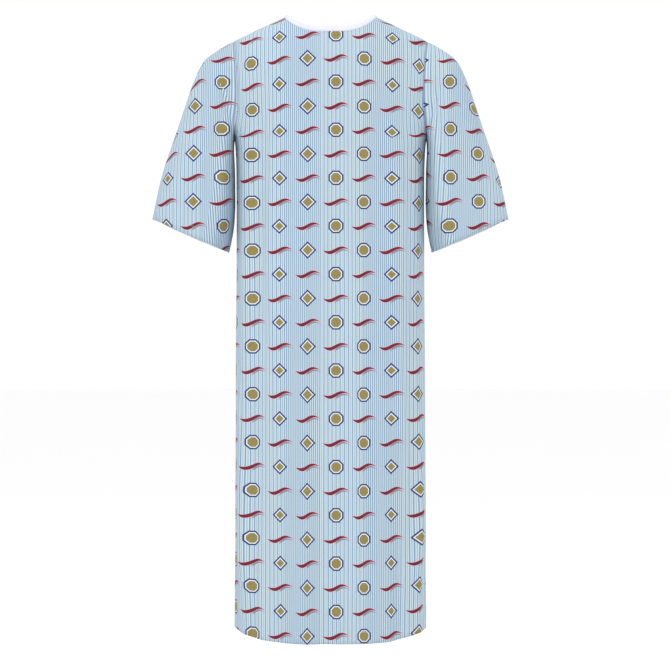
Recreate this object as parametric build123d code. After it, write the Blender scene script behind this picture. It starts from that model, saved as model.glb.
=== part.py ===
from build123d import *
import math
import os

# Patient gown, hanging as it is worn: front towards -Y, wearer's left at +X, +Z up.
# The origin is the centre of the neck opening, level with the two side neck points.
# All sizes are in millimetres.

# ---- driving dimensions ---------------------------------------------------------------
LENGTH = 1200.0             # side neck point to the middle of the hem
HEM_RISE = 18.0             # how much the hem curves up at the side seams
CLOTH = 2.0                 # stand-in thickness of one layer of cloth
DOUBLE = 3.0                # stand-in thickness of a turned hem or a binding
GAP = 0.3                   # clearance between neighbouring pieces

NECK_HALF_WIDTH = 82.0
NECK_FRONT_DEPTH = 77.5     # plan distance from the origin to the front neckline
NECK_BACK_DEPTH = 71.0
NECK_ROUNDNESS = 3.0        # superellipse exponent of the neckline in plan
BINDING_SIDE = 8.0          # plan width of the binding on the shoulder
BINDING_OUTSET = 0.5        # how far the binding stands proud of the cloth
BINDING_FRONT = 4.0         # plan width of the binding in front, where the cloth is steep

SEAM_PLANE = 186.0          # the armhole seams lie in the planes x = +-SEAM_PLANE
SHOULDER_DROP = 50.0        # side neck point to the top of the armhole
ARMHOLE_HALF_HEIGHT = 95.0
ARMHOLE_HALF_DEPTH = 70.0
ARMHOLE_CENTRE = -SHOULDER_DROP - ARMHOLE_HALF_HEIGHT
UNDERARM = ARMHOLE_CENTRE - ARMHOLE_HALF_HEIGHT

BODY_HALF_WIDTH = 181.0     # a little below the armholes
BODY_FLARE = 5.0            # extra half width at the hem
NECK_HALF_DEPTH = 55.0      # half depth of the body at the side neck points
CHEST_HALF_DEPTH = 112.0
DEPTH_FLARE = 13.0          # extra half depth at the hem
SHOULDER_FALLOFF = 60.0     # how fast the depth grows below the neck
UNDERARM_FALLOFF = 30.0     # how fast the width settles below the armhole
ROUNDNESS = 2.3             # superellipse exponent of a level section

HEM_HEIGHT = 25.0
SLEEVE_HEM_HEIGHT = 22.0
SLIT_TOP_HALF = 4.0         # half width of the open back at the neck
SLIT_HEM_HALF = 14.0        # and at the hem

FLAP_TOP = -330.0           # each back panel swings free below this level
FLAP_HINGE_X = 150.0
TIE_WIDTH = 12.0
TIE_THICKNESS = 1.6
TIE_LENGTH = 260.0
TIE_EDGE = 14.0             # near edge of a tie from the middle of the back
NECK_TIE_TOP = -36.0
WAIST_TIE_TOP = -470.0
PATCH = 24.0                # square reinforcement under each waist tie
PATCH_THICKNESS = 1.2
LABEL_SIZE = (34.0, 46.0)
LABEL_TOP = -42.0
LABEL_FROM_MIDDLE = 22.0
LABEL_THICKNESS = 1.0

FAR = 600.0                 # beyond the gown in X and Y
BODY_POINTS = 16            # points around a level section, a neckline and a sleeve
NECK_POINTS = 24
SLEEVE_POINTS = 12
SECTION_LEVELS = (0, -12, -25, -38, -50, -54, -62, -75, -95, -120, -145, -170, -195, -215,
                  -228, -236, -240, -255, -280, -330, -600, -1240)

# Sleeve seen from the front: outer edge from shoulder to hem, and inner edge from
# underarm to hem, as (distance from the centre, height), with the half depth between them.
SLEEVE_RIBS = (
    ((187.2, -50), (187.2, -240), 70),
    ((214, -62.5), (188.5, -262), 71),
    ((243, -86), (189.5, -285), 72),
    ((264, -122), (190.5, -310), 73),
    ((282, -166), (192.5, -340), 73),
    ((305, -227), (195.5, -375), 73),
    ((331, -304), (200.0, -415), 72),
    ((348, -392), (207.0, -456), 72),
)

os.makedirs("parts", exist_ok=True)


# ---- form of the body -----------------------------------------------------------------
def half_depth(z):
    """Half depth of the body front to back at height z."""
    rounding = (CHEST_HALF_DEPTH - NECK_HALF_DEPTH) * math.exp(z / SHOULDER_FALLOFF)
    return CHEST_HALF_DEPTH - rounding - DEPTH_FLARE * z / LENGTH


def seam_depth(z):
    """Half depth of the armhole seam at height z, nought outside the armhole."""
    reach = (z - ARMHOLE_CENTRE) / ARMHOLE_HALF_HEIGHT
    return ARMHOLE_HALF_DEPTH * math.sqrt(max(0.0, 1 - reach * reach))


def half_width(z):
    """Half width of the body at height z, as if it had no armholes."""
    if z > -SHOULDER_DROP:
        slope = (SEAM_PLANE - NECK_HALF_WIDTH) / SHOULDER_DROP
        return NECK_HALF_WIDTH - slope * z
    if z > UNDERARM:
        share = 1 - (seam_depth(z) / half_depth(z)) ** ROUNDNESS
        return SEAM_PLANE / share ** (1 / ROUNDNESS)
    below = z - UNDERARM
    settling = (SEAM_PLANE - BODY_HALF_WIDTH) * math.exp(below / UNDERARM_FALLOFF)
    return BODY_HALF_WIDTH + settling - BODY_FLARE * below / LENGTH


def polar_radius(angle, a, depth, exponent):
    """Distance from the centre of a superellipse to its edge in one direction."""
    c = abs(math.cos(angle)) / a
    s = abs(math.sin(angle)) / depth
    return (c ** exponent + s ** exponent) ** (-1 / exponent)


def level_face(a, front, back, exponent, level, count):
    """A level face bounded by a superellipse with its own front and back depth."""
    points = []
    for k in range(count):
        angle = 2 * math.pi * k / count
        depth = back if math.sin(angle) > 0 else front
        radius = polar_radius(angle, a, depth, exponent)
        points.append((radius * math.cos(angle), radius * math.sin(angle), level))
    return Face(Wire([Spline(points, periodic=True)]))


def body_form(inset):
    """The filled body, set in by inset from the outside of the cloth."""
    sections = []
    for z in SECTION_LEVELS:
        a = half_width(z) - inset
        depth = half_depth(z) - inset
        sections.append(level_face(a, depth, depth, ROUNDNESS, z - 1.1 * inset, BODY_POINTS))
    return loft(sections, ruled=True)


def body_shell(inset, thickness):
    """One layer of cloth all round the body, open at the neck and at the hem."""
    neck_room = block(-NECK_HALF_WIDTH, NECK_HALF_WIDTH, -NECK_HALF_DEPTH, NECK_HALF_DEPTH,
                      -1.1 * (inset + thickness) - 3, 60)
    return body_form(inset) - body_form(inset + thickness) - neck_room


def neck_column(side_extra, depth_extra):
    """An upright column with the plan of the neckline."""
    foot = level_face(NECK_HALF_WIDTH + side_extra, NECK_FRONT_DEPTH + depth_extra,
                      NECK_BACK_DEPTH + depth_extra, NECK_ROUNDNESS, -160, NECK_POINTS)
    return extrude(foot, 260)


def below_hem_line(rise):
    """Everything under the hem line lifted by rise."""
    reach = SEAM_PLANE + 14
    edge = []
    for k in range(-4, 5):
        x = reach * k / 4
        lift = HEM_RISE * (abs(x) / BODY_HALF_WIDTH) ** 4
        edge.append((x, FAR, -LENGTH + lift + rise))
    low = -LENGTH - 100
    line = Spline(edge)
    rest = Polyline(edge[-1], (reach, FAR, low), (-reach, FAR, low), edge[0])
    return extrude(make_face(line + rest), 2 * FAR, dir=(0, -1, 0))


def block(x0, x1, y0, y1, z0, z1):
    """A box from its two corners."""
    return Pos((x0 + x1) / 2, (y0 + y1) / 2, (z0 + z1) / 2) * Box(x1 - x0, y1 - y0, z1 - z0)


def back_slit():
    """The open wedge down the middle of the back."""
    outline = Polyline((-SLIT_TOP_HALF, 0, 40), (SLIT_TOP_HALF, 0, 40),
                       (SLIT_HEM_HALF, 0, -LENGTH - 40), (-SLIT_HEM_HALF, 0, -LENGTH - 40),
                       close=True)
    return extrude(make_face(outline), FAR, dir=(0, 1, 0))


def save(name, shape):
    """Write one node and report its size."""
    shape.label = name
    export_step(shape, f"parts/{name}.step")
    size = shape.bounding_box().size
    print(f"{name}: {len(shape.solids())} solid(s), {size.X:.0f} x {size.Y:.0f} x {size.Z:.0f} mm")


def save_pair(name, left_shape):
    """Write a left node and its mirror image on the right."""
    save(f"{name}_left", left_shape)
    save(f"{name}_right", mirror(left_shape, about=Plane.YZ))


# ---- body panels, hems and neck binding -------------------------------------------------
between_armholes = block(-SEAM_PLANE, SEAM_PLANE, -FAR, FAR, -LENGTH - 60, 60)
front_half = block(-FAR, FAR, -FAR, -GAP / 2, -LENGTH - 60, 60)
left_back = block(0, FAR, GAP / 2, FAR, -LENGTH - 60, 60)
slit = back_slit()
under_hem = below_hem_line(0)
under_hem_top = below_hem_line(HEM_HEIGHT)
bound_neck = neck_column(BINDING_SIDE, BINDING_FRONT)
cleared_neck = neck_column(BINDING_SIDE + GAP, BINDING_FRONT + GAP)

single_layer = body_shell(0, CLOTH) & between_armholes
double_layer = body_shell(0, DOUBLE) & block(-FAR, FAR, -FAR, FAR, -LENGTH - 60, -LENGTH + 90)
cloth = single_layer - cleared_neck - under_hem_top
hem = (double_layer & under_hem_top) - under_hem
collar = (body_shell(-BINDING_OUTSET, DOUBLE) & bound_neck) - neck_column(0, 0) - slit

save("front_panel", cloth & front_half)
save("front_hem", hem & front_half)
save("neck_binding", collar)

swing_zone = block(-FAR, FLAP_HINGE_X, 0, FAR, -LENGTH - 60, FLAP_TOP)
flap_zone = block(-FAR, FLAP_HINGE_X - GAP, 0, FAR, -LENGTH - 60, FLAP_TOP - GAP)
back_cloth = (cloth & left_back) - slit
back_hem = (hem & left_back) - slit
save_pair("back_panel", back_cloth - swing_zone)
save_pair("back_side_hem", back_hem - swing_zone)
save_pair("back_flap", back_cloth & flap_zone)
save_pair("back_flap_hem", back_hem & flap_zone)


# ---- sleeves ----------------------------------------------------------------------------
def sleeve_section(rib, inset):
    """One oval section of the left sleeve, between its outer and inner edge points."""
    top, low, depth = rib
    top = Vector(top[0], 0, top[1])
    low = Vector(low[0], 0, low[1])
    centre = (top + low) * 0.5
    reach = (top - low) * 0.5
    along = reach.normalized()
    half = reach.length - inset
    points = []
    for k in range(SLEEVE_POINTS):
        angle = 2 * math.pi * k / SLEEVE_POINTS
        offset = along * (half * math.cos(angle))
        points.append(centre + offset + Vector(0, (depth - inset) * math.sin(angle), 0))
    return Face(Wire([Spline(points, periodic=True)]))


def sleeve_form(inset):
    """The filled sleeve, set in by inset from the outside of the cloth."""
    sections = [sleeve_section(rib, inset) for rib in SLEEVE_RIBS]
    lengths = [loft([upper, lower], ruled=True) for upper, lower in zip(sections, sections[1:])]
    return lengths[0].fuse(*lengths[1:])


def sleeve_tube(thickness):
    return sleeve_form(0) - sleeve_form(thickness)


def above_sleeve_hem():
    """Everything on the shoulder side of the line where the sleeve hem is turned."""
    top, low, _ = SLEEVE_RIBS[-1]
    across = Vector(top[0] - low[0], 0, top[1] - low[1]).normalized()
    upwards = Vector(-across.Z, 0, across.X)
    middle = Vector((top[0] + low[0]) / 2, 0, (top[1] + low[1]) / 2)
    plane = Plane(origin=middle + upwards * SLEEVE_HEM_HEIGHT, x_dir=across, z_dir=upwards)
    return plane * (Pos(0, 0, FAR / 2) * Box(2 * FAR, 2 * FAR, FAR))


sleeve_side = above_sleeve_hem()
save_pair("sleeve", sleeve_tube(CLOTH) & sleeve_side)
save_pair("sleeve_hem", sleeve_tube(DOUBLE) - sleeve_side)


# ---- ties, patches and label --------------------------------------------------------------
def back_strip(near_x, width, z_top, height, clearance, thickness):
    """A strip that hangs down the outside of the back, clear of the cloth."""
    levels = [z_top - height * k / 8 for k in range(9)]
    near = [(near_x, half_depth(z) + clearance, z) for z in levels]
    far = [(near_x, half_depth(z) + clearance + thickness, z) for z in reversed(levels)]
    outline = Spline(near) + Line(near[-1], far[0]) + Spline(far) + Line(far[-1], near[0])
    return extrude(make_face(outline), width, dir=(1, 0, 0))


save_pair("neck_tie", back_strip(TIE_EDGE, TIE_WIDTH, NECK_TIE_TOP, TIE_LENGTH, 1.2,
                                 TIE_THICKNESS))
save_pair("tie_patch", back_strip(TIE_EDGE, PATCH, WAIST_TIE_TOP + PATCH / 2, PATCH, 0.1,
                                  PATCH_THICKNESS))
save_pair("waist_tie", back_strip(TIE_EDGE, TIE_WIDTH, WAIST_TIE_TOP, TIE_LENGTH,
                                  0.1 + PATCH_THICKNESS + GAP, TIE_THICKNESS))

label_near = -LABEL_FROM_MIDDLE
label_zone = block(label_near - LABEL_SIZE[0], label_near, 0, FAR,
                   LABEL_TOP - LABEL_SIZE[1], LABEL_TOP)
save("care_label", body_shell(CLOTH + GAP, LABEL_THICKNESS) & label_zone)
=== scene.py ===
import math

import bmesh
import bpy
import numpy as np
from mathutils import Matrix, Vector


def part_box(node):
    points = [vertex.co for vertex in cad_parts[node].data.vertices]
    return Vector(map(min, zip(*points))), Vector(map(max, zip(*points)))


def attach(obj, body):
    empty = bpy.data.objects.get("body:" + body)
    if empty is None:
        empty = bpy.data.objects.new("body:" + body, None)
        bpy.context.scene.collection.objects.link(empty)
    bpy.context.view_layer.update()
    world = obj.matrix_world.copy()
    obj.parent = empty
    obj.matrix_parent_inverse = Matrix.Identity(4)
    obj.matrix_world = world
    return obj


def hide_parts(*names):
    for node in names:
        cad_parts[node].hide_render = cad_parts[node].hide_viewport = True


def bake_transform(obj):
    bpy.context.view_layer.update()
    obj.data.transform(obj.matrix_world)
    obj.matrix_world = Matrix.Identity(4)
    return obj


# A printed patient gown, hanging as worn. Everything is in metres, in the frame of the
# CAD model: front towards -Y, wearer's left at +X, origin at the neck opening.

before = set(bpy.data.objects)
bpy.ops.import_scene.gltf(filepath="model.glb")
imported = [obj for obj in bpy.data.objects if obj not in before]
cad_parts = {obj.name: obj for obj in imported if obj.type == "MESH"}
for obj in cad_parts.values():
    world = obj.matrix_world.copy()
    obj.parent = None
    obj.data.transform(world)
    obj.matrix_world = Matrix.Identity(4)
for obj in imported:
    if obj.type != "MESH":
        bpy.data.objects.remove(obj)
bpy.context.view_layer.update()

# ---- sizes of the gown, the CAD model's but for the sleeves ------------------------------
LENGTH = -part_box("front_hem")[0][2]
HEM_RISE = 0.018            # the hem is this much higher at the sides
HEM_RISE_REACH = 0.25       # share of the length over which it rises
NECK_DIP_REACH = 0.3        # the rows dip with the neckline down to this far below it
NECK_HALF_WIDTH = 0.082
NECK_FRONT_DEPTH = 0.0775
NECK_BACK_DEPTH = 0.071
NECK_ROUNDNESS = 3.0
SEAM_PLANE = 0.186
SHOULDER_DROP = 0.050
ARMHOLE_HALF_HEIGHT = 0.095
ARMHOLE_HALF_DEPTH = 0.070
ARMHOLE_CENTRE = -SHOULDER_DROP - ARMHOLE_HALF_HEIGHT
UNDERARM = ARMHOLE_CENTRE - ARMHOLE_HALF_HEIGHT
BODY_HALF_WIDTH = 0.181
BODY_FLARE = 0.005
NECK_HALF_DEPTH = 0.055
CHEST_HALF_DEPTH = 0.112
DEPTH_FLARE = 0.013
SHOULDER_FALLOFF = 0.060
UNDERARM_FALLOFF = 0.030
ROUNDNESS = 2.3
HEM_HEIGHT = 0.025
SLEEVE_HEM_HEIGHT = 0.022
SLIT_TOP_HALF = 0.004
SLIT_HEM_HALF = 0.014
FLAP_HINGE_X = 0.150
TIE_WIDTH = 0.012
TIE_LENGTH = 0.260
TIE_EDGE = 0.014
NECK_TIE_TOP = -0.036
WAIST_TIE_TOP = -0.470

# Outer edge and inner edge of the left sleeve seen from the front, and its half depth.
# The inner edges lie up to 12 mm nearer the body than the CAD model's, the rest within 1.2 mm.
SLEEVE_RIBS = np.array((
    (0.1860, -0.050, 0.1860, -0.240, 0.070),
    (0.2140, -0.0625, 0.1866, -0.262, 0.071),
    (0.2430, -0.086, 0.1852, -0.285, 0.072),
    (0.2640, -0.122, 0.1844, -0.310, 0.073),
    (0.2825, -0.166, 0.1840, -0.340, 0.073),
    (0.3050, -0.227, 0.1842, -0.375, 0.073),
    (0.3310, -0.304, 0.1880, -0.415, 0.072),
    (0.3485, -0.392, 0.2000, -0.456, 0.072),
))

# ---- how finely the cloth is divided ---------------------------------------------------
ROWS_ON_SIDE = 112
ROWS_ON_ARMHOLE = 24
ROWS_ON_SHOULDER = 12
FRONT_COLUMNS = 60
BACK_COLUMNS = 30
SLEEVE_ROWS = 42
RIB_PLACES = 281            # places down the sleeve where a point's nearest rib is looked for
HEIGHT_STEPS = 40           # halvings in the search for the neckline's height
PATCH_WELD = 2e-5           # grid on which points of different patches count as one
TUBE_WELD = 1e-6            # distance at which a tube's first and last column are joined

# ---- thickness of the cloth --------------------------------------------------------------
CLOTH_THICKNESS = 0.0008
HEM_THICKNESS = 0.0017
HEM_STEP = 0.003            # distance over which a hem thins out to the cloth

# ---- how the print lies on the cloth ------------------------------------------------------
# Where the cloth turns away, the print still advances by this share of the way along it.
FRONT_PRINT_SHARE = 0.70
BACK_PRINT_SHARE = 0.80
SLEEVE_PRINT_SHARE = 0.80
UPRIGHT_PRINT_SHARE = 0.60
BACK_PRINT_SHIFT = 0.031    # the back's print against the front's
SLEEVE_PRINT_SCALE = 0.9877     # the sleeve's print against the front's


# ---- form of the body ---------------------------------------------------------------------
def half_depth(z):
    rounding = (CHEST_HALF_DEPTH - NECK_HALF_DEPTH) * np.exp(z / SHOULDER_FALLOFF)
    return CHEST_HALF_DEPTH - rounding - DEPTH_FLARE * z / LENGTH


def seam_depth(z):
    reach = (z - ARMHOLE_CENTRE) / ARMHOLE_HALF_HEIGHT
    return ARMHOLE_HALF_DEPTH * np.sqrt(np.clip(1 - reach * reach, 0, 1))


def half_width(z):
    shoulder = NECK_HALF_WIDTH - (SEAM_PLANE - NECK_HALF_WIDTH) / SHOULDER_DROP * z
    share = 1 - (seam_depth(z) / half_depth(z)) ** ROUNDNESS
    chest = SEAM_PLANE / share ** (1 / ROUNDNESS)
    below = np.minimum(z - UNDERARM, 0)
    settling = (SEAM_PLANE - BODY_HALF_WIDTH) * np.exp(below / UNDERARM_FALLOFF)
    skirt = BODY_HALF_WIDTH + settling - BODY_FLARE * below / LENGTH
    return np.where(z > -SHOULDER_DROP, shoulder, np.where(z > UNDERARM, chest, skirt))


def polar_radius(angle, a, depth, exponent):
    c = np.abs(np.cos(angle)) / a
    s = np.abs(np.sin(angle)) / depth
    return (c ** exponent + s ** exponent) ** (-1 / exponent)


def body_points(angle, z):
    radius = polar_radius(angle, half_width(z), half_depth(z), ROUNDNESS)
    return np.stack([radius * np.cos(angle), radius * np.sin(angle), z], axis=-1)


def neckline_height(angle, side_extra=0.0, depth_extra=0.0):
    """Height at which the body meets an upright column with the neckline's plan."""
    depth = np.where(np.sin(angle) > 0, NECK_BACK_DEPTH, NECK_FRONT_DEPTH) + depth_extra
    wanted = polar_radius(angle, NECK_HALF_WIDTH + side_extra, depth, NECK_ROUNDNESS)
    high = np.full_like(angle, 0.01)
    low = np.full_like(angle, -0.1)
    for _ in range(HEIGHT_STEPS):
        middle = (high + low) / 2
        narrow = polar_radius(angle, half_width(middle), half_depth(middle), ROUNDNESS) < wanted
        high = np.where(narrow, middle, high)
        low = np.where(narrow, low, middle)
    return (high + low) / 2


def edge_heights():
    """Heights of the rows where they end on the side seam, the armhole and the shoulder."""
    side = np.linspace(-LENGTH, UNDERARM, ROWS_ON_SIDE + 1)[:-1]
    turn = np.linspace(0, math.pi, ROWS_ON_ARMHOLE + 1)[:-1]
    armhole = ARMHOLE_CENTRE - ARMHOLE_HALF_HEIGHT * np.cos(turn)
    shoulder = np.linspace(-SHOULDER_DROP, 0, ROWS_ON_SHOULDER + 1)
    return np.concatenate([side, armhole, shoulder])


EDGES = edge_heights()


def side_angle(z):
    return np.arctan2(seam_depth(z), SEAM_PLANE)


def slit_angle(z):
    half = SLIT_TOP_HALF - (SLIT_HEM_HALF - SLIT_TOP_HALF) * z / LENGTH
    return np.arctan2(half, half_depth(z))


def panel(first, last, columns):
    """Points of a panel between two edge angles per row, from the hem to the neckline."""
    share = np.linspace(0, 1, columns + 1)[None, :]
    edge = EDGES[:, None]
    angle = first[:, None] + (last - first)[:, None] * share
    dip = np.clip(edge / NECK_DIP_REACH + 1, 0, 1) ** 2
    z = edge + (neckline_height(angle) - neckline_height(first)[:, None]) * dip
    x = body_points(angle, z)[..., 0]
    lift = HEM_RISE * (np.abs(x) / BODY_HALF_WIDTH) ** 4
    near_hem = -(edge + LENGTH * (1 - HEM_RISE_REACH)) / (LENGTH * HEM_RISE_REACH)
    z = z + lift * np.clip(near_hem, 0, 1) ** 2
    return body_points(angle, z)


def along_rows(points, least, start):
    """Fabric coordinate across a panel: width as seen from the front, or a share of arc length."""
    step = np.diff(points, axis=1)
    length = np.linalg.norm(step[..., :2], axis=-1)
    grow = np.maximum(np.abs(step[..., 0]), least * length)
    total = np.concatenate([np.zeros((len(points), 1)), np.cumsum(grow, axis=1)], axis=1)
    return total - total[:, start:start + 1]


def up_columns(points, least):
    """Fabric coordinate up a panel: height, or a share of arc length where cloth leans over."""
    step = np.diff(points, axis=0)
    length = np.linalg.norm(step, axis=-1)
    grow = np.maximum(step[..., 2], least * length)
    total = np.concatenate([np.zeros((1, points.shape[1])), np.cumsum(grow, axis=0)], axis=0)
    return total + points[:1, :, 2]


def front_patch():
    """Points of the front and their fabric coordinates."""
    first = math.pi + side_angle(EDGES)
    last = 2 * math.pi - side_angle(EDGES)
    points = panel(first, last, FRONT_COLUMNS)
    u = along_rows(points, FRONT_PRINT_SHARE, FRONT_COLUMNS // 2)
    return points, np.stack([u, up_columns(points, UPRIGHT_PRINT_SHARE)], axis=-1)


def back_patch(side):
    """Points of one back and their fabric coordinates."""
    side_edge = side_angle(EDGES)
    slit_edge = math.pi / 2 - slit_angle(EDGES)
    if side < 0:
        side_edge, slit_edge = math.pi - side_edge, math.pi - slit_edge
    points = panel(side_edge, slit_edge, BACK_COLUMNS)
    # The print reads the right way round from behind, and is level at the slit.
    from_slit = -along_rows(points, BACK_PRINT_SHARE, BACK_COLUMNS)
    u = BACK_PRINT_SHIFT - side * (from_slit + np.abs(points[:, -1:, 0]))
    return points, np.stack([u, up_columns(points, UPRIGHT_PRINT_SHARE)], axis=-1)


def smooth_rows(table, places):
    """Catmull-Rom interpolation down the rows of a table."""
    padded = np.vstack([2 * table[0] - table[1], table, 2 * table[-1] - table[-2]])
    base = np.clip(places.astype(int), 0, len(table) - 2)
    t = (places - base)[:, None]
    p0, p1, p2, p3 = (padded[base + k] for k in range(4))
    return 0.5 * (2 * p1 + (p2 - p0) * t + (2 * p0 - 5 * p1 + 4 * p2 - p3) * t ** 2
                  + (3 * p1 - p0 - 3 * p2 + p3) * t ** 3)


def sleeve_patch(side):
    """Points of one sleeve, from armhole to hem, and their fabric coordinates."""
    ribs = smooth_rows(SLEEVE_RIBS, np.linspace(0, len(SLEEVE_RIBS) - 1, SLEEVE_ROWS + 1))
    count = 2 * ROWS_ON_ARMHOLE
    # Columns run from the underarm over the front, the outer edge and the back.
    turn = np.linspace(-math.pi, math.pi, count + 1)[None, :]
    top, low = ribs[:, 0:2], ribs[:, 2:4]
    centre = (top + low) / 2
    reach = (top - low) / 2
    half = np.linalg.norm(reach, axis=1)[:, None]
    along = reach / half
    depth = ribs[:, 4:5]
    place = half * np.cos(turn)
    y = depth * np.sin(turn)
    flat = centre[:, None, :] + along[:, None, :] * place[..., None]
    points = np.stack([side * flat[..., 0], y, flat[..., 1]], axis=-1)
    step = np.diff(np.stack([place, y], axis=-1), axis=1)
    length = np.linalg.norm(step, axis=-1)
    grow = np.maximum(np.abs(step[..., 0]), SLEEVE_PRINT_SHARE * length)
    arc = np.concatenate([np.zeros((len(ribs), 1)), np.cumsum(grow, axis=1)], axis=1)
    arc = arc - arc[:, count // 4:count // 4 + 1]
    # Behind the outer edge the print runs back the way it came, as over a fold.
    arc[:, count // 2:] = arc[:, count // 2::-1]
    uv = centre[:, None, :] + along[:, None, :] * arc[..., None]
    uv = np.stack([side * uv[..., 0], uv[..., 1]], axis=-1)
    return points, uv


# ---- camera, which also sets where the print falls -------------------------------------------
CAMERA_DISTANCE = 5.0
CAMERA_X = 0.0097
CAMERA_Z = -0.6173
VIEW_WIDTH = 1.2964         # width of the view at the middle of the gown
SENSOR_WIDTH = 36.0         # millimetres


def set_camera():
    data = bpy.data.cameras.new("camera")
    camera = bpy.data.objects.new("camera", data)
    bpy.context.scene.collection.objects.link(camera)
    camera.location = (CAMERA_X, -CAMERA_DISTANCE, CAMERA_Z)
    camera.rotation_euler = (math.pi / 2, 0, 0)
    data.sensor_width = SENSOR_WIDTH
    data.lens = SENSOR_WIDTH * CAMERA_DISTANCE / VIEW_WIDTH
    bpy.context.scene.camera = camera


# ---- building meshes ---------------------------------------------------------------------
def grid_faces(rows, columns):
    base = (np.arange(rows - 1)[:, None] * columns + np.arange(columns - 1)[None, :]).ravel()
    return np.stack([base, base + 1, base + columns + 1, base + columns], axis=1)


def grid_normals(points):
    up = np.gradient(points, axis=0)
    across = np.gradient(points, axis=1)
    normal = np.cross(across, up)
    return normal / np.maximum(np.linalg.norm(normal, axis=-1, keepdims=True), 1e-12)


def new_mesh(name, points, faces, uvs, slots, materials):
    """A smooth mesh object; uvs are per point, slots give each face's material."""
    mesh = bpy.data.meshes.new(name)
    mesh.from_pydata([tuple(p) for p in points], [], [tuple(int(i) for i in f) for f in faces])
    layer = mesh.uv_layers.new(name="fabric")
    corner = np.empty(len(mesh.loops), dtype=np.int32)
    mesh.loops.foreach_get("vertex_index", corner)
    layer.data.foreach_set("uv", np.asarray(uvs)[corner].astype(np.float32).ravel())
    for material in materials:
        mesh.materials.append(material)
    mesh.polygons.foreach_set("material_index", np.asarray(slots, dtype=np.int32))
    mesh.polygons.foreach_set("use_smooth", np.ones(len(mesh.polygons), dtype=bool))
    mesh.update()
    obj = bpy.data.objects.new(name, mesh)
    bpy.context.scene.collection.objects.link(obj)
    return obj


def cloth_object(name, points, uv, thickness, outwards, materials, closed=False):
    """A closed sheet from a grid of points on its outside; outwards flips the normal."""
    rows, columns = points.shape[:2]
    normal = grid_normals(points)
    if closed:
        seam = normal[:, 0] + normal[:, -1]
        seam = seam / np.linalg.norm(seam, axis=-1, keepdims=True)
        normal[:, 0] = seam
        normal[:, -1] = seam
    normal = normal * outwards
    inner = points - normal * thickness[..., None]
    count = rows * columns
    faces = grid_faces(rows, columns)
    if outwards < 0:
        faces = faces[:, ::-1]
    inside = faces[:, ::-1] + count
    index = np.arange(count).reshape(rows, columns)
    if closed:
        loops = [index[0, ::-1], index[-1, :]]
    else:
        loops = [np.concatenate([index[0, :-1], index[:-1, -1], index[-1, :0:-1], index[::-1, 0]])[::-1]]
    rims = []
    for loop in loops:
        pairs = np.stack([loop[:-1], loop[1:]], axis=1)
        rims.append(np.concatenate([pairs, pairs[:, ::-1] + count], axis=1))
    rim = np.concatenate(rims)
    if outwards < 0:
        rim = rim[:, ::-1]
    all_points = np.concatenate([points.reshape(-1, 3), inner.reshape(-1, 3)])
    all_uv = np.concatenate([uv.reshape(-1, 2)] * 2)
    all_faces = np.concatenate([faces, inside, rim])
    slots = [0] * len(faces) + [1] * len(inside) + [0] * len(rim)
    obj = new_mesh(name, all_points, all_faces, all_uv, slots, materials)
    if closed:
        weld(obj)
    return obj


def weld(obj):
    """Join points that coincide, such as along a tube's seam."""
    work = bmesh.new()
    work.from_mesh(obj.data)
    bmesh.ops.remove_doubles(work, verts=work.verts, dist=TUBE_WELD)
    work.to_mesh(obj.data)
    work.free()


# ---- materials -------------------------------------------------------------------------------
class Field:
    """A number that varies over a surface, written as arithmetic and built from math nodes."""

    def __init__(self, tree, socket):
        self.tree = tree
        self.socket = socket

    def op(self, kind, *others):
        node = self.tree.nodes.new("ShaderNodeMath")
        node.operation = kind
        self.tree.links.new(self.socket, node.inputs[0])
        for place, other in enumerate(others, start=1):
            if isinstance(other, Field):
                self.tree.links.new(other.socket, node.inputs[place])
            else:
                node.inputs[place].default_value = other
        return Field(self.tree, node.outputs[0])

    def __add__(self, other):
        return self.op("ADD", other)

    def __sub__(self, other):
        return self.op("SUBTRACT", other)

    def __mul__(self, other):
        return self.op("MULTIPLY", other)

    def abs(self):
        return self.op("ABSOLUTE")

    def larger(self, other):
        return self.op("MAXIMUM", other)

    def repeat(self, centre, period):
        """Distance from the nearest of the places centre + n * period."""
        return self.op("WRAP", centre + period / 2, centre - period / 2) - centre

    def step_down(self, soft):
        """1 where this is well below nought, 0 well above, with an edge of width soft."""
        node = self.tree.nodes.new("ShaderNodeMapRange")
        node.interpolation_type = "SMOOTHSTEP"
        self.tree.links.new(self.socket, node.inputs["Value"])
        node.inputs["From Min"].default_value = -soft / 2
        node.inputs["From Max"].default_value = soft / 2
        node.inputs["To Min"].default_value = 1.0
        node.inputs["To Max"].default_value = 0.0
        return Field(self.tree, node.outputs["Result"])


def srgb(red, green, blue):
    """A colour given as 0 to 255 screen values, as linear light."""
    out = []
    for value in (red, green, blue):
        value = value / 255
        out.append(value / 12.92 if value < 0.04045 else ((value + 0.055) / 1.055) ** 2.4)
    return (*out, 1.0)


def mix(tree, factor, first, second, amount=1.0):
    """Blend of two colours; each is a socket or a fixed colour."""
    node = tree.nodes.new("ShaderNodeMix")
    node.data_type = "RGBA"
    if amount != 1.0:
        factor = factor * amount
    tree.links.new(factor.socket, node.inputs["Factor"])
    for name, value in (("A", first), ("B", second)):
        socket = [s for s in node.inputs if s.name == name and s.type == "RGBA"][0]
        if isinstance(value, tuple):
            socket.default_value = value
        else:
            tree.links.new(value, socket)
    return [s for s in node.outputs if s.type == "RGBA"][0]


def noise(tree, vector, scale, detail=2.0):
    node = tree.nodes.new("ShaderNodeTexNoise")
    node.inputs["Scale"].default_value = scale
    node.inputs["Detail"].default_value = detail
    tree.links.new(vector, node.inputs["Vector"])
    return Field(tree, node.outputs["Fac"])


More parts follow.
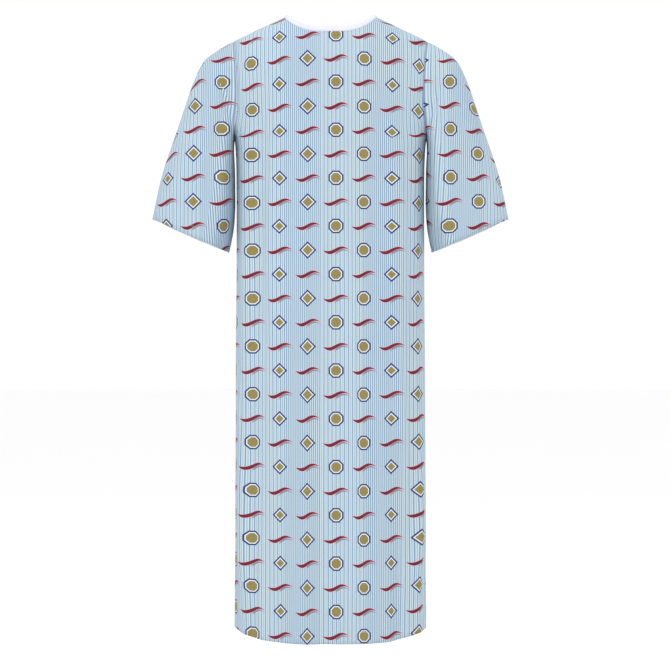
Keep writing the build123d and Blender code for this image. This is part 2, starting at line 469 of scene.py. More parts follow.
GROUND_LIGHT = srgb(198, 214, 217)
GROUND_DEEP = srgb(190, 207, 212)
PINSTRIPE = srgb(110, 140, 174)
STROKE_HALO = srgb(200, 168, 188)
STROKE_SHADOW = srgb(128, 120, 130)
STROKE_RED = srgb(138, 4, 34)
STROKE_HEART = srgb(104, 0, 24)
OUTLINE_BLUE = srgb(24, 42, 108)
RING_WHITE = srgb(222, 226, 222)
GOLD_DEEP = srgb(118, 106, 48)
GOLD_LIGHT = srgb(152, 138, 84)
BARE_YARN = srgb(222, 228, 236)
INSIDE_FADE = srgb(216, 226, 236)

# The print repeats every four columns and two rows. Motif centres are on a half-drop grid.
COLUMN = 0.0539
ROW = 0.04555
PRINT_U = 0.0106            # centre of an eight-sided motif, across the front
PRINT_V = -0.5924           # and its height
PIN_PITCH = 0.00377
OUTLINE_WIDTH = 0.0028      # of an octagon's or a diamond's blue outline
RING_END = 0.0046           # how far in from its edge the white ring ends and the gold starts
PRINT_EDGE = 0.0008         # softness of a printed edge
WAVE_HEIGHT = 0.0043        # of the swoosh's middle line
WAVE_TILT = 0.0009


def octagon(x, y, size):
    """Distance outside an eight-sided motif with a flat top."""
    return x.abs().larger(y.abs()).larger((x.abs() + y.abs()) * 0.7071) - size


def diamond(x, y, size):
    return (x.abs() + y.abs() - size) * 0.7071


def swoosh(x, y, half_length, half_thickness):
    """Distance outside a lazy S: thick at the lower left, thin at the upper right."""
    t = x * (1 / half_length)
    middle = (t * math.pi).op("SINE") * WAVE_HEIGHT + t * WAVE_TILT
    ends = (t * t * -1.0 + 1.0).larger(-0.3)
    width = (t * -0.45 + 1.0).larger(0.2) * ends * half_thickness
    return (y - middle).abs() - width


# Shape, column and row of its first place, and size.
MOTIFS = (
    (octagon, 0, 0, 0.0138),
    (octagon, 1, 1, 0.0138),
    (diamond, 2, 0, 0.0146),
    (diamond, 3, 1, 0.0166),
)


def print_colour(tree, vector):
    """The printed pattern's colour from the fabric coordinates."""
    split = tree.nodes.new("ShaderNodeSeparateXYZ")
    tree.links.new(vector, split.inputs[0])
    u = Field(tree, split.outputs["X"]) - PRINT_U
    v = Field(tree, split.outputs["Y"]) - PRINT_V
    wander = noise(tree, vector, 900.0)
    grain = noise(tree, vector, 260.0, 3.0)
    cloudy = noise(tree, vector, 9.0)

    # Pinstripes: one every PIN_PITCH, every second one stronger in some bands.
    fine = (u.repeat(0.0, PIN_PITCH).abs() - PIN_PITCH * 0.25).step_down(PIN_PITCH * 0.3)
    strong = (u.repeat(0.0, PIN_PITCH * 2).abs() - PIN_PITCH * 0.3).step_down(PIN_PITCH * 0.3)
    band = ((u - 0.012).repeat(0.0, COLUMN * 2.9).abs() - COLUMN * 0.8).step_down(0.01)
    pin = fine * (band * -0.42 + 0.94) + strong * band * 0.42
    ground = mix(tree, cloudy, GROUND_LIGHT, GROUND_DEEP)
    colour = mix(tree, pin, ground, PINSTRIPE)

    for first_column, first_row in ((1, 0), (0, 1)):
        x = u.repeat(first_column * COLUMN, COLUMN * 2)
        y = v.repeat(first_row * ROW, ROW * 2)
        stroke = swoosh(x, y, 0.0245, 0.0033)
        shadow = swoosh(x - 0.002, y + 0.0042, 0.0225, 0.0028)
        right_half = (x * -1.0 - 0.001).step_down(0.008)
        colour = mix(tree, (stroke - 0.0009).step_down(0.0016), colour, STROKE_HALO, 0.7)
        colour = mix(tree, shadow.step_down(0.0018) * right_half, colour, STROKE_SHADOW, 0.9)
        colour = mix(tree, stroke.step_down(PRINT_EDGE), colour, STROKE_RED)
        colour = mix(tree, (stroke + 0.0008).step_down(0.0012), colour, STROKE_HEART)

    for shape, column, row, size in MOTIFS:
        x = u.repeat(column * COLUMN, COLUMN * 4)
        y = v.repeat(row * ROW, ROW * 2)
        outside = shape(x, y, size)
        middle = mix(tree, grain, GOLD_DEEP, GOLD_LIGHT)
        colour = mix(tree, outside.step_down(PRINT_EDGE), colour, OUTLINE_BLUE)
        colour = mix(tree, (outside + OUTLINE_WIDTH).step_down(PRINT_EDGE), colour, RING_WHITE)
        colour = mix(tree, (outside + RING_END).step_down(PRINT_EDGE), colour, middle)
    # Ink sits unevenly on the yarns.
    return mix(tree, wander, colour, BARE_YARN, 0.05)


def weave_height(tree, vector, pitch):
    """Over-and-under height of a plain weave."""
    split = tree.nodes.new("ShaderNodeSeparateXYZ")
    tree.links.new(vector, split.inputs[0])
    turn = 2 * math.pi / pitch
    warp = (Field(tree, split.outputs["X"]) * turn).op("SINE")
    weft = (Field(tree, split.outputs["Y"]) * turn).op("SINE")
    return (warp * weft) * 0.5 + 0.5


def cloth_material(name, colour_maker, pitch, bump, roughness, sheen, fade=None):
    """Woven cloth. Where fade is given, that colour covers most of the print."""
    material = bpy.data.materials.new(name)
    material.use_nodes = True
    tree = material.node_tree
    shader = tree.nodes["Principled BSDF"]
    place = tree.nodes.new("ShaderNodeUVMap")
    place.uv_map = "fabric"
    vector = place.outputs["UV"]
    colour = colour_maker(tree, vector)
    if fade:
        flat = noise(tree, vector, 40.0) * 0.08 + 0.62
        colour = mix(tree, flat, colour, fade)
    tree.links.new(colour, shader.inputs["Base Color"])
    threads = weave_height(tree, vector, pitch) + noise(tree, vector, 700.0) * 0.6
    slubs = noise(tree, vector, 34.0, 4.0)
    height = threads + slubs * 1.5
    relief = tree.nodes.new("ShaderNodeBump")
    relief.inputs["Strength"].default_value = bump
    relief.inputs["Distance"].default_value = 0.0002
    tree.links.new(height.socket, relief.inputs["Height"])
    tree.links.new(relief.outputs["Normal"], shader.inputs["Normal"])
    rough = noise(tree, vector, 120.0) * 0.14 + (roughness - 0.07)
    tree.links.new(rough.socket, shader.inputs["Roughness"])
    shader.inputs["Specular IOR Level"].default_value = 0.18
    shader.inputs["Sheen Weight"].default_value = sheen
    shader.inputs["Sheen Roughness"].default_value = 0.45
    return material


def plain_colour(light, dark, scale):
    def maker(tree, vector):
        return mix(tree, noise(tree, vector, scale, 3.0), dark, light)
    return maker


PRINTED = cloth_material("printed_cotton", print_colour, 0.0006, 0.35, 0.88, 0.03)
PRINTED_INSIDE = cloth_material("printed_cotton_inside", print_colour, 0.0006, 0.35, 0.9, 0.03,
                                fade=INSIDE_FADE)
BINDING = cloth_material("binding_twill", plain_colour(srgb(226, 226, 238), srgb(208, 209, 224), 45.0),
                         0.0007, 0.5, 0.84, 0.15)
TAPE = cloth_material("tie_tape", plain_colour(srgb(222, 223, 228), srgb(200, 203, 210), 60.0),
                      0.0009, 0.6, 0.82, 0.15)
LABEL = cloth_material("label_satin", plain_colour(srgb(240, 240, 236), srgb(226, 226, 222), 80.0),
                       0.0004, 0.25, 0.55, 0.1)
THREAD = cloth_material("sewing_thread", plain_colour(srgb(204, 214, 228), srgb(178, 190, 208), 500.0),
                        0.0003, 0.5, 0.7, 0.1)


# ---- how much of the joints' movement each point of the cloth would take; worked out, not applied ---
SLEEVE_FREE_FROM = 0.60     # share of the way down the sleeve
FLAP_STILL_ABOVE = -0.280   # the back stays shut above this level
FLAP_FREE_BELOW = -0.455


def rise(value, start, end):
    t = np.clip((value - start) / (end - start), 0, 1)
    return t * t * (3 - 2 * t)


def back_weights(points):
    """Share of the flap's turn that each point of the back takes."""
    height = rise(points[:, 2], FLAP_STILL_ABOVE, FLAP_FREE_BELOW)
    across = rise(np.abs(points[:, 0]), FLAP_HINGE_X + 0.018, FLAP_HINGE_X - 0.030)
    behind = rise(points[:, 1], 0.04, 0.07)
    return height * across * behind


def sleeve_weights(points):
    """Share of the sleeve's lift: none at the armhole, all of it past the middle of the sleeve.

    Known fault: each rib counts as an endless line, and the armhole's line runs on down the
    sleeve's inner edge. Some points there take none of the lift, and the cloth stretches far
    under the arm. Measuring to each rib between its two ends only would mend this.
    """
    places = np.linspace(0, len(SLEEVE_RIBS) - 1, RIB_PLACES)
    ribs = smooth_rows(SLEEVE_RIBS, places)
    top, rib = ribs[:, 0:2], ribs[:, 2:4] - ribs[:, 0:2]
    x = np.abs(points[:, 0:1]) - top[:, 0]
    z = points[:, 2:3] - top[:, 1]
    off = np.abs(x * rib[:, 1] - z * rib[:, 0]) / np.linalg.norm(rib, axis=1)
    place = places[off.argmin(axis=1)] / places[-1]
    return rise(place, 0.0, SLEEVE_FREE_FROM)


def follow(obj, weights):
    """Bakes obj's transform into its mesh and works out each point's weight, which is not applied: obj
    does not bend.
    """
    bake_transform(obj)
    points = np.empty(len(obj.data.vertices) * 3)
    obj.data.vertices.foreach_get("co", points)
    share = weights(points.reshape(-1, 3)).astype(np.float32)


# ---- the whole gown as one cloth ------------------------------------------------------------------
SIDES = ((1, "left"), (-1, "right"))
patches = {}
patches["front"] = front_patch()
for side, name in SIDES:
    patches[f"back_{name}"] = back_patch(side)
    patches[f"sleeve_{name}"] = sleeve_patch(side)


def welded(patches):
    """One list of points for all patches, and each patch's places in it."""
    everything = np.concatenate([p.reshape(-1, 3) for p, _ in patches.values()])
    keys = np.round(everything / PATCH_WELD).astype(np.int64)
    _, first, place = np.unique(keys, axis=0, return_index=True, return_inverse=True)
    place = place.ravel()
    index = {}
    start = 0
    for name, (points, _) in patches.items():
        count = points.shape[0] * points.shape[1]
        index[name] = place[start:start + count].reshape(points.shape[:2])
        start += count
    return everything[first], index


smooth_points, cloth_index = welded(patches)

# Which way each patch's own grid faces: 1 outwards, -1 inwards.
FACING = {"front": 1, "back_left": 1, "back_right": -1, "sleeve_left": -1, "sleeve_right": 1}


def all_faces():
    """Every patch's faces as places in the one list of points, all turned outwards."""
    faces = []
    for name, (points, _) in patches.items():
        rows, columns = points.shape[:2]
        own = cloth_index[name].ravel()[grid_faces(rows, columns)]
        faces.append(own[:, ::FACING[name]])
    return np.concatenate(faces)


def point_normals(points, faces):
    """Area-weighted normals, pointing out of the gown."""
    a, b, c, d = (points[faces[:, k]] for k in range(4))
    face = np.cross(c - a, d - b)
    total = np.zeros_like(points)
    for k in range(4):
        np.add.at(total, faces[:, k], face)
    return total / np.maximum(np.linalg.norm(total, axis=1, keepdims=True), 1e-12)


def sleeve_only():
    """Which points lie on a sleeve and not on its armhole seam."""
    on_sleeve = np.zeros(len(smooth_points), dtype=bool)
    for _, name in SIDES:
        on_sleeve[cloth_index[f"sleeve_{name}"]] = True
    for name in ("front", "back_left", "back_right"):
        on_sleeve[cloth_index[name]] = False
    return on_sleeve


def relax(values, edges, weight, rounds):
    """Move each value towards the mean of its neighbours, by its own weight."""
    count = np.bincount(edges.ravel(), minlength=len(values))[:, None]
    for _ in range(rounds):
        total = np.zeros_like(values)
        np.add.at(total, edges[:, 0], values[edges[:, 1]])
        np.add.at(total, edges[:, 1], values[edges[:, 0]])
        values = values + (total / count - values) * weight[:, None]
    return values


def face_edges(faces):
    pairs = np.concatenate([faces[:, [k, (k + 1) % 4]] for k in range(4)])
    return np.unique(np.sort(pairs, axis=1), axis=0)


def bump_at(value, centre, width):
    return np.exp(-((value - centre) / width) ** 2)


def looseness(points):
    """How free the cloth is to fold: little at the side seams, not at all along the back edges."""
    x, y, _ = points.T
    side = bump_at(y, 0, 0.050) * rise(np.abs(x), 0.130, 0.165)
    edge = rise(np.abs(x), 0.055, 0.030) * (y > 0)
    # The inner side of a sleeve rests against the body.
    inner = bump_at(np.abs(x), 0.183, 0.014) * rise(-points[:, 2], 0.20, 0.25)
    return np.where(sleeve_only(), 1 - 0.97 * inner, (1 - 0.9 * side) * (1 - edge))


# Folds that go round: height, how many there are, phase, and how much that drifts with z.
BODY_FOLDS = ((0.0030, 9, 1.4, 1.6), (0.0022, 14, -0.6, -2.3), (0.0014, 23, 2.1, 3.1))
SLEEVE_FOLDS = ((0.0026, 4, 0.8, 9), (0.0016, 7, 0.0, -6))
# Hollows and swells of the front: height, x and how wide, z and how long.
FRONT_DENTS = (
    (-0.0060, -0.141, 0.016, -0.45, 0.16),
    (0.0030, -0.118, 0.014, -0.43, 0.15),
    (-0.0040, 0.150, 0.013, -0.40, 0.12),
)
# Pulls across the chest: z at the underarm, slope, depth, width, and the x between which they grow.
PULL_SIDE = 0.180
UNDERARM_PULLS = (
    (-0.250, -0.75, 0.0028, 0.012, 0.06, 0.16),
    (-0.235, 0.45, 0.0018, 0.010, 0.09, 0.17),
)
CREASE_DEPTH_RIGHT = 0.0060
CREASE_DEPTH_LEFT = 0.0034


def waves(table, angle, z):
    return sum(height * np.sin(count * angle + phase + drift * z) for height, count, phase, drift in table)


def folds(points):
    """How far each point stands out or in: soft upright folds that deepen towards the hem."""
    x, y, z = points.T
    front = y < 0
    body_turn = np.arctan2(y / 0.118, x / 0.183)
    body = waves(BODY_FOLDS, body_turn, z) * (0.25 + 0.75 * rise(-z, 0.22, 1.15))
    for height, across, width, up, length in FRONT_DENTS:
        body += height * bump_at(x, across, width) * bump_at(z, up, length) * front
    # The front's edge dips in beside the left sleeve.
    body -= 0.0030 * bump_at(x, 0.1765, 0.006) * rise(-z, 0.13, 0.19) * rise(z, -0.42, -0.34) * front
    for side, _ in SIDES:
        along = side * x
        for start, slope, depth, width, inner, outer in UNDERARM_PULLS:
            line = start + slope * (PULL_SIDE - along)
            body -= depth * bump_at(z, line, width) * rise(along, inner, outer)
    still = rise(-z, 0.02, 0.12)
    sleeve_turn = np.arctan2(y, np.abs(x) - (0.215 + 0.16 * (-z - 0.15)))
    sleeve = waves(SLEEVE_FOLDS, sleeve_turn, z) * rise(-z, 0.14, 0.36)
    from_seam = rise(np.abs(x), SEAM_PLANE + 0.001, SEAM_PLANE + 0.02)
    # A crease where each sleeve folds in towards the underarm, deeper on the wearer's right.
    crease = np.abs(x) - (0.190 + 0.35 * np.clip(z + 0.185, 0, 0.06))
    depth = np.where(x < 0, CREASE_DEPTH_RIGHT, CREASE_DEPTH_LEFT)
    pinch = depth * bump_at(crease, 0, 0.0065) * rise(-z, 0.12, 0.15) * front
    sleeve = sleeve - pinch
    body = body - pinch
    return np.where(sleeve_only(), sleeve * from_seam, body * still) * looseness(points)


def seam_points():
    """Places in the one list where two patches meet."""
    count = np.zeros(len(smooth_points), dtype=int)
    for index in cloth_index.values():
        count[np.unique(index)] += 1
    return count > 1


DRAPE_FRAMES = 22
EXTRA_CLOTH = 0.018         # the share by which the draping cloth is larger than the form
LEAST_HOLD = 0.06           # how firmly the hanging cloth is held in place; 1 is fast
SEAM_HOLD = 0.35
MOST_MOVE = 0.006
SEAM_PINCH = 0.0006
ARMHOLE_ROUNDS = 40


def drape(points, faces, edges):
    """Let the cloth settle under its own weight, and keep how far it moves in or out."""
    mesh = bpy.data.meshes.new("drape")
    mesh.from_pydata([tuple(p) for p in points], [], [tuple(int(i) for i in f) for f in faces])
    obj = bpy.data.objects.new("drape", mesh)
    bpy.context.scene.collection.objects.link(obj)
    group = obj.vertex_groups.new(name="held")
    hold = LEAST_HOLD + (1 - LEAST_HOLD) * rise(points[:, 2], -0.120, -0.060)
    hold = np.round(np.maximum(hold, np.where(seam_points(), SEAM_HOLD, 0)), 2)
    for level in np.unique(hold):
        chosen = np.nonzero(hold == level)[0]
        group.add([int(i) for i in chosen], float(level), "REPLACE")
    modifier = obj.modifiers.new("cloth", "CLOTH")
    cloth = modifier.settings
    cloth.quality = 5
    cloth.mass = 0.16
    cloth.air_damping = 2.0
    cloth.tension_stiffness = 12
    cloth.compression_stiffness = 12
    cloth.shear_stiffness = 6
    cloth.bending_stiffness = 0.25
    cloth.vertex_group_mass = "held"
    cloth.pin_stiffness = 1.0
    cloth.shrink_min = -EXTRA_CLOTH
    modifier.collision_settings.use_collision = False
    modifier.collision_settings.use_self_collision = False
    modifier.point_cache.frame_start = 1
    modifier.point_cache.frame_end = DRAPE_FRAMES
    scene = bpy.context.scene
    for number in range(1, DRAPE_FRAMES + 1):
        scene.frame_set(number)
    shape = obj.evaluated_get(bpy.context.evaluated_depsgraph_get())
    settled = np.empty(len(points) * 3)
    shape.data.vertices.foreach_get("co", settled)
    scene.frame_set(1)
    bpy.data.objects.remove(obj)
    bpy.data.meshes.remove(mesh)
    move = settled.reshape(-1, 3) - points
    normal = point_normals(points, faces)
    out = np.einsum("ij,ij->i", move, normal)[:, None]
    # The sag along the cloth is left out, so the print stays where it was cut.
    out = relax(out, edges, np.full(len(points), 0.5), 4)
    free = rise(-points[:, 2], 0.06, 0.22) * looseness(points)
    out = MOST_MOVE * np.tanh(out / MOST_MOVE) * free[:, None]
    return points + normal * out


def finished_cloth(points):
    """The smooth form with rounded armholes, folds, the drape, and pinched seams."""
    faces = all_faces()
    edges = face_edges(faces)
    near_armhole = bump_at(np.abs(points[:, 0]), SEAM_PLANE, 0.030)
    near_armhole *= rise(points[:, 2], UNDERARM - 0.005, UNDERARM + 0.060)
    near_armhole *= rise(-points[:, 2], 0.052, 0.075)
    points = relax(points, edges, 0.5 * near_armhole, ARMHOLE_ROUNDS)
    points = points + point_normals(points, faces) * folds(points)[:, None]
    points = drape(points, faces, edges)
    return points - point_normals(points, faces) * (seam_points() * SEAM_PINCH)[:, None]


cloth_points = finished_cloth(smooth_points)


def shaped(name):
    return cloth_points[cloth_index[name]]


def row_distance(points, row):
    """Distance of each point from one row, along its own column."""
    step = np.linalg.norm(np.diff(points, axis=0), axis=-1)
    total = np.concatenate([np.zeros((1, points.shape[1])), np.cumsum(step, axis=0)], axis=0)
    return np.abs(total - total[row:row + 1 if row >= 0 else None])


def thickness_by_distance(distance, height):
    extra = (HEM_THICKNESS - CLOTH_THICKNESS) * rise(distance, height + HEM_STEP, height)
    return CLOTH_THICKNESS + extra


cloth_materials = [PRINTED, PRINTED_INSIDE]
front_points = shaped("front")
front = cloth_object("front_cloth", front_points, patches["front"][1],
                     thickness_by_distance(row_distance(front_points, 0), HEM_HEIGHT), 1,
                     cloth_materials)
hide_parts("front_panel", "front_hem")
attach(front, "gown_body")

for side, name in SIDES:
    points = shaped(f"back_{name}")
    uv = patches[f"back_{name}"][1]
    back = cloth_object(f"back_cloth_{name}", points, uv,
                        thickness_by_distance(row_distance(points, 0), HEM_HEIGHT), side,
                        cloth_materials)
    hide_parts(f"back_panel_{name}", f"back_flap_{name}", f"back_side_hem_{name}",
                f"back_flap_hem_{name}")
    follow(back, back_weights)

    points = shaped(f"sleeve_{name}")
    uv = patches[f"sleeve_{name}"][1] * SLEEVE_PRINT_SCALE
    uv[..., 1] += CAMERA_Z * (1 - SLEEVE_PRINT_SCALE)
    last = len(points) - 1
    sleeve = cloth_object(f"sleeve_cloth_{name}", points, uv,
                          thickness_by_distance(row_distance(points, last), SLEEVE_HEM_HEIGHT),
                          -side, cloth_materials, closed=True)
    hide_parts(f"sleeve_{name}", f"sleeve_hem_{name}")
    follow(sleeve, sleeve_weights)


# ---- stitching ---------------------------------------------------------------------------------
STITCH_PITCH = 0.0032
STITCH_LENGTH = 0.0023
STITCH_RADIUS = 0.00030
STITCH_SIDES = 6
# Along a stitch: place as a share of its length, share of its thickness, height off the cloth.
STITCH_RINGS = ((-0.5, 0.35, -0.00030), (-0.3, 1.0, 0.00008), (0.3, 1.0, 0.00008), (0.5, 0.35, -0.00030))
HEM_STITCH_INSET = 0.003    # below the top of a hem
SLIT_STITCH_INSET = 0.012   # from a back's open edge


def evenly(points, others, pitch):
    """Places along a line of points every pitch, with the other tables read there too."""
    step = np.linalg.norm(np.diff(points, axis=0), axis=1)
    total = np.concatenate([[0], np.cumsum(step)])
    places = np.arange(pitch / 2, total[-1], pitch)
    tables = [points] + list(others)
    return [np.stack([np.interp(places, total, table[:, k]) for k in range(3)], axis=1)
            for table in tables]


def stitches(name, lines, body=None, weights=None):
    """A row of thread stitches along each (points, normals) line, as one piece."""
    around = STITCH_SIDES
    turn = np.arange(around) * 2 * math.pi / around
    all_points, all_faces, all_uv = [], [], []
    for points, normals in lines:
        points, normals = evenly(points, [normals], STITCH_PITCH)
        tangent = np.gradient(points, axis=0)
        tangent /= np.linalg.norm(tangent, axis=1, keepdims=True)
        normals /= np.linalg.norm(normals, axis=1, keepdims=True)
        side = np.cross(tangent, normals)
        for p, t, n, s in zip(points, tangent, normals, side):
            start = len(all_points)
            for place, fat, height in STITCH_RINGS:
                centre = p + t * place * STITCH_LENGTH + n * height
                for a in turn:
                    all_points.append(centre + (n * math.sin(a) + s * math.cos(a))
                                      * STITCH_RADIUS * fat)
                    all_uv.append((place * STITCH_LENGTH, a * STITCH_RADIUS))
            for ring in range(len(STITCH_RINGS) - 1):
                for k in range(around):
                    low = start + ring * around
                    high = low + around
                    k2 = (k + 1) % around
                    all_faces.append((low + k, low + k2, high + k2, high + k))
            all_faces.append(tuple(start + k for k in reversed(range(around))))
            last = start + (len(STITCH_RINGS) - 1) * around
            all_faces.append(tuple(last + k for k in range(around)))
    obj = new_mesh(name, all_points, all_faces, all_uv, [0] * len(all_faces), [THREAD])
    if weights is None:
        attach(obj, body)
    else:
        follow(obj, weights)


def line_from_row(points, outwards, row, distance):
    """A line across a patch at a distance from one of its end rows."""
    normal = grid_normals(points) * outwards
    away = row_distance(points, row)
    if row != 0:
        points, normal, away = points[::-1], normal[::-1], away[::-1]
    columns = range(points.shape[1])
    place = [[np.interp(distance, away[:, c], points[:, c, k]) for k in range(3)] for c in columns]
    facing = [[np.interp(distance, away[:, c], normal[:, c, k]) for k in range(3)] for c in columns]
    return np.array(place), np.array(facing)


def line_from_column(points, outwards, column, distance):
    """A line up a patch at a distance from one of its end columns."""
    return line_from_row(points.transpose(1, 0, 2), -outwards, column, distance)


stitches("front_hem_stitches", [line_from_row(shaped("front"), 1, 0, HEM_HEIGHT - HEM_STITCH_INSET)],
         body="gown_body")
for side, name in SIDES:
    points = shaped(f"back_{name}")
    lines = [line_from_row(points, side, 0, HEM_HEIGHT - HEM_STITCH_INSET),
             line_from_column(points, side, -1, SLIT_STITCH_INSET)]
    stitches(f"back_stitches_{name}", lines, f"{name}_back_flap", back_weights)
    points = shaped(f"sleeve_{name}")
    lines = [line_from_row(points, -side, -1, SLEEVE_HEM_HEIGHT - HEM_STITCH_INSET)]
    stitches(f"sleeve_stitches_{name}", lines, f"{name}_sleeve", sleeve_weights)


# ---- neck binding -----------------------------------------------------------------------------------
BINDING_SIDE = 0.008
BINDING_FRONT = 0.0052
BINDING_STEPS = 150
BINDING_OVERLAP = 0.01      # angle by which it runs past the back's edges
BINDING_UV_STEP = 0.0018
BINDING_SEAM = 0.86         # where its stitches run, as a share of its width
# Across the binding: share of its width down the cloth, and height off the cloth.
BINDING_PROFILE = ((1.00, 0.0003), (0.96, 0.0013), (0.75, 0.0017), (0.50, 0.0018), (0.25, 0.0018),
                   (0.05, 0.0015), (-0.07, 0.0006), (-0.07, -0.0013), (0.05, -0.0022),
                   (0.50, -0.0026), (0.96, -0.0022), (1.00, -0.0010))


def neck_surface(angle, share):
    z = neckline_height(angle, BINDING_SIDE * share, BINDING_FRONT * share)
    return body_points(angle, z)


def neck_binding():
    start = math.pi / 2 + float(slit_angle(0.0)) - BINDING_OVERLAP
    end = math.pi * 5 / 2 - float(slit_angle(0.0)) + BINDING_OVERLAP
    angle = np.linspace(start, end, BINDING_STEPS)
    along = np.gradient(neck_surface(angle, 0.5), axis=0)
    down = neck_surface(angle, 1.0) - neck_surface(angle, 0.0)
    width = np.linalg.norm(down, axis=1)
    normal = np.cross(along, down)
    normal /= np.linalg.norm(normal, axis=1, keepdims=True)
    normal *= np.sign(normal[BINDING_STEPS // 2, 1]) * -1
    step = np.linalg.norm(np.diff(neck_surface(angle, 0.5), axis=0), axis=1)
    length = np.concatenate([[0], np.cumsum(step)])
    ripple = 1 + 0.10 * np.sin(length * 310) + 0.08 * np.sin(length * 187 + 1)
    rings, uvs = [], []
    run = 0.0
    for share, height in BINDING_PROFILE:
        rings.append(neck_surface(angle, share) + normal * (height * ripple)[:, None])
        uvs.append(np.stack([length, np.full_like(length, run)], axis=1))
        run += BINDING_UV_STEP
    points = np.stack(rings, axis=0)
    count = len(BINDING_PROFILE)
    faces = []
    for k in range(count):
        k2 = (k + 1) % count
        for j in range(BINDING_STEPS - 1):
            faces.append((k * BINDING_STEPS + j, k * BINDING_STEPS + j + 1,
                          k2 * BINDING_STEPS + j + 1, k2 * BINDING_STEPS + j))
    faces.append(tuple(k * BINDING_STEPS for k in range(count)))
    faces.append(tuple(k * BINDING_STEPS + BINDING_STEPS - 1 for k in reversed(range(count))))
    obj = new_mesh("neck_binding_tape", points.reshape(-1, 3), faces,
                   np.concatenate(uvs), [0] * len(faces), [BINDING])
    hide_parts("neck_binding")
    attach(obj, "gown_body")
    seam = neck_surface(angle, BINDING_SEAM) + normal * 0.0016
    stitches("binding_stitches", [(seam, normal)], body="gown_body")


neck_binding()


# ---- ties, patches and label -----------------------------------------------------------------------
PATCH_SIZE = 0.024
LABEL_WIDTH = 0.034
LABEL_HEIGHT = 0.046
LABEL_X = -0.039
LABEL_TOP = -0.042
# Each strip's distance from the back's smooth form, and its thickness.
CLEARANCE = {"neck_tie": 0.0034, "waist_tie": 0.0044, "patch": 0.0013, "label": 0.0032}
THICKNESS = {"tie": 0.0009, "patch": 0.0006, "label": 0.0004}


def strip(name, centre_x, width, top, height, clearance, thickness, sway, material, inside=False):
    """A flat strip hanging down the back, a little waved; sway is how much it turns."""
    rows, columns = 60, 6
    z = top - np.linspace(0, 1, rows)[:, None] * height * np.ones((1, columns))
    across = np.linspace(-0.5, 0.5, columns)[None, :] * width
    down = (top - z) / height
    turn = sway * down ** 1.5 * np.sin(3.4 * down + 0.6)
    x = centre_x + across * np.cos(turn) + 0.35 * sway * 0.006 * np.sin(5 * down)
    base = half_depth(z) + (-clearance if inside else clearance)
    wave = np.abs(sway) * 0.0020 * (1 - np.cos(7.5 * down)) * rise(down, 0.05, 0.4)
    stand_off = (0 if inside else 1) * (wave + np.abs(across * np.sin(turn)))
    y = base + stand_off + 0.0004 * np.cos(np.pi * across / width)
    points = np.stack([x, y, z], axis=-1)
    uv = np.stack([across + 0 * z, z], axis=-1)
    thick = thickness * (1 + 0.9 * rise(down, 1 - 0.010 / height, 1 - 0.008 / height))
    return cloth_object(name, points[:, ::-1], uv[:, ::-1], thick, 1, [material, material])


for side, name in SIDES:
    middle = side * (TIE_EDGE + TIE_WIDTH / 2)
    for kind, top, body, sway in (("neck_tie", NECK_TIE_TOP, f"{name}_neck_tie", 0.5 * side),
                                  ("waist_tie", WAIST_TIE_TOP, f"{name}_waist_tie", -0.6 * side)):
        tie = strip(f"{kind}_tape_{name}", middle, TIE_WIDTH, top, TIE_LENGTH,
                    CLEARANCE[kind], THICKNESS["tie"], sway, TAPE)
        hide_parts(f"{kind}_{name}")
        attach(tie, body)
    patch = strip(f"tie_patch_cloth_{name}", side * (TIE_EDGE + PATCH_SIZE / 2), PATCH_SIZE,
                  WAIST_TIE_TOP + PATCH_SIZE / 2, PATCH_SIZE, CLEARANCE["patch"],
                  THICKNESS["patch"], 0.0, PRINTED)
    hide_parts(f"tie_patch_{name}")
    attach(patch, f"{name}_back_flap")

label = strip("care_label_satin", LABEL_X, LABEL_WIDTH, LABEL_TOP, LABEL_HEIGHT,
              CLEARANCE["label"], THICKNESS["label"], 0.0, LABEL, inside=True)
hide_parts("care_label")
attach(label, "gown_body")


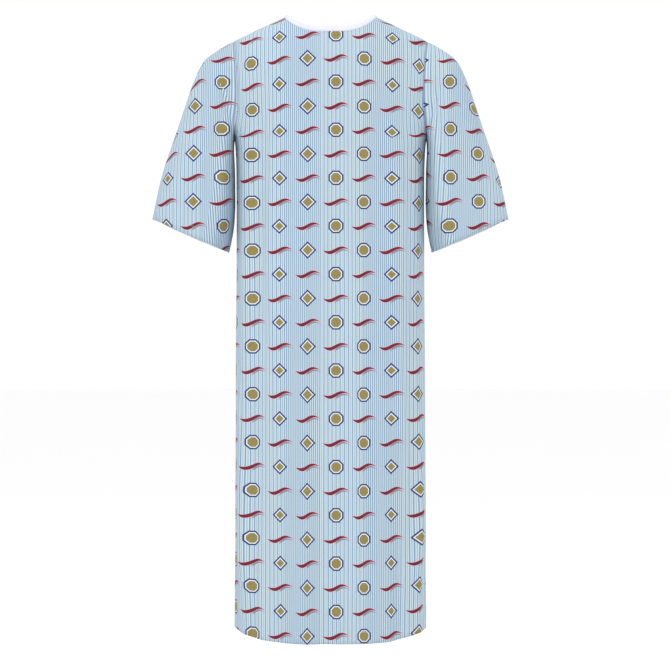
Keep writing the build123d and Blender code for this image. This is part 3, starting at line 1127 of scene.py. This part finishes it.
# ---- studio ------------------------------------------------------------------------------------------
FLOOR_SIDES = 96
FLOOR_REACH = 30.0
FLOOR_Z = -1.34
WORLD_STRENGTH = 1.01       # just over white, so that the background is white from every side
LIGHT_AIM = (0, 0, -0.6)
# Name, place, width and height, and power in watts.
LIGHTS = (
    ("front_left", (-2.6, -3.6, 0.9), (2.4, 2.4), 34),
    ("front_right", (2.8, -3.6, 0.3), (2.4, 2.4), 16),
    ("top", (0, -0.5, 2.4), (2.6, 2.6), 20),
)


def area_light(name, place, aim, size, power):
    data = bpy.data.lights.new(name, "AREA")
    data.shape = "RECTANGLE"
    data.size, data.size_y = size
    data.energy = power
    lamp = bpy.data.objects.new(name, data)
    lamp.location = place
    direction = np.array(aim) - np.array(place)
    flat = math.hypot(direction[0], direction[1])
    lamp.rotation_euler = (math.atan2(flat, -direction[2]), 0,
                           math.atan2(direction[1], direction[0]) - math.pi / 2)
    bpy.context.scene.collection.objects.link(lamp)


def studio():
    """A pale floor that reaches far out, and soft light from all round."""
    turn = np.arange(FLOOR_SIDES) * 2 * math.pi / FLOOR_SIDES
    mesh = bpy.data.meshes.new("studio_floor")
    rim = [(FLOOR_REACH * math.cos(t), FLOOR_REACH * math.sin(t), FLOOR_Z) for t in turn]
    mesh.from_pydata(rim, [], [tuple(range(FLOOR_SIDES))])
    floor = bpy.data.objects.new("studio_floor", mesh)
    bpy.context.scene.collection.objects.link(floor)
    material = bpy.data.materials.new("studio_paper")
    material.use_nodes = True
    shader = material.node_tree.nodes["Principled BSDF"]
    shader.inputs["Base Color"].default_value = (0.97, 0.97, 0.97, 1)
    shader.inputs["Roughness"].default_value = 0.9
    mesh.materials.append(material)
    world = bpy.data.worlds.new("studio_air")
    world.use_nodes = True
    air = world.node_tree.nodes["Background"]
    air.inputs["Color"].default_value = (1, 1, 1, 1)
    air.inputs["Strength"].default_value = WORLD_STRENGTH
    bpy.context.scene.world = world
    for name, place, size, power in LIGHTS:
        area_light(name, place, LIGHT_AIM, size, power)


set_camera()
studio()
bpy.context.scene.view_settings.view_transform = "Standard"
